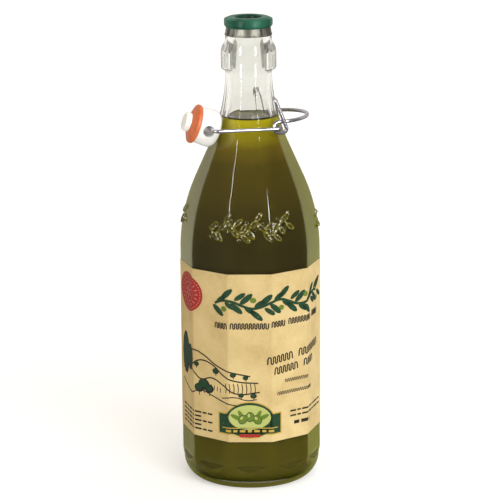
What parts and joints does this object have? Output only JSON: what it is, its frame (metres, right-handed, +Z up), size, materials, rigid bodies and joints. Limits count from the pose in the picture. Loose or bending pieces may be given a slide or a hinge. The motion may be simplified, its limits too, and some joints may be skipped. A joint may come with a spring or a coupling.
{
  "type": "swing-top olive oil bottle",
  "caption": "Clear ten-sided glass bottle full of olive oil, with a wrapped paper label, a capped mouth, and a swing stopper on a wire bail and lever hanging round its neck.",
  "frame": {"origin": "middle of the foot, on the surface that the bottle stands on", "axes": "+Z up the bottle, -Y out of the front facet, +X to the lever's side"},
  "size_m": [0.09, 0.0882, 0.3],
  "materials": {
    "clear_glass": "polished",
    "olive_oil": "clear liquid",
    "label_paper": "matt kraft",
    "green_cap": "satin",
    "skirt_foil": "brushed",
    "plated_wire": "bright plated",
    "white_stopper": "gloss",
    "orange_rubber": "satin"
  },
  "bodies": {
    "filled_bottle": {"bottle": "clear_glass", "oil": "olive_oil", "label": "label_paper", "cap": "green_cap", "cap_skirt": "skirt_foil", "bail": "plated_wire"},
    "swing_stopper": {"stopper": "white_stopper", "gasket": "orange_rubber"},
    "swing_lever": {"lever": "plated_wire"}
  },
  "joints": [
    {"name": "stopper_swing", "type": "hinge", "parent": "filled_bottle", "child": "swing_stopper", "pos_m": [-0.02782, -0.00745, 0.2322], "axis": [0.2588, -0.9659, 0], "range_deg": [-4, 4]},
    {"name": "lever_swing", "type": "hinge", "parent": "filled_bottle", "child": "swing_lever", "pos_m": [0.01396, 0.00374, 0.23167], "axis": [0.2588, -0.9659, 0], "range_deg": [-60, 35]}
  ]
}
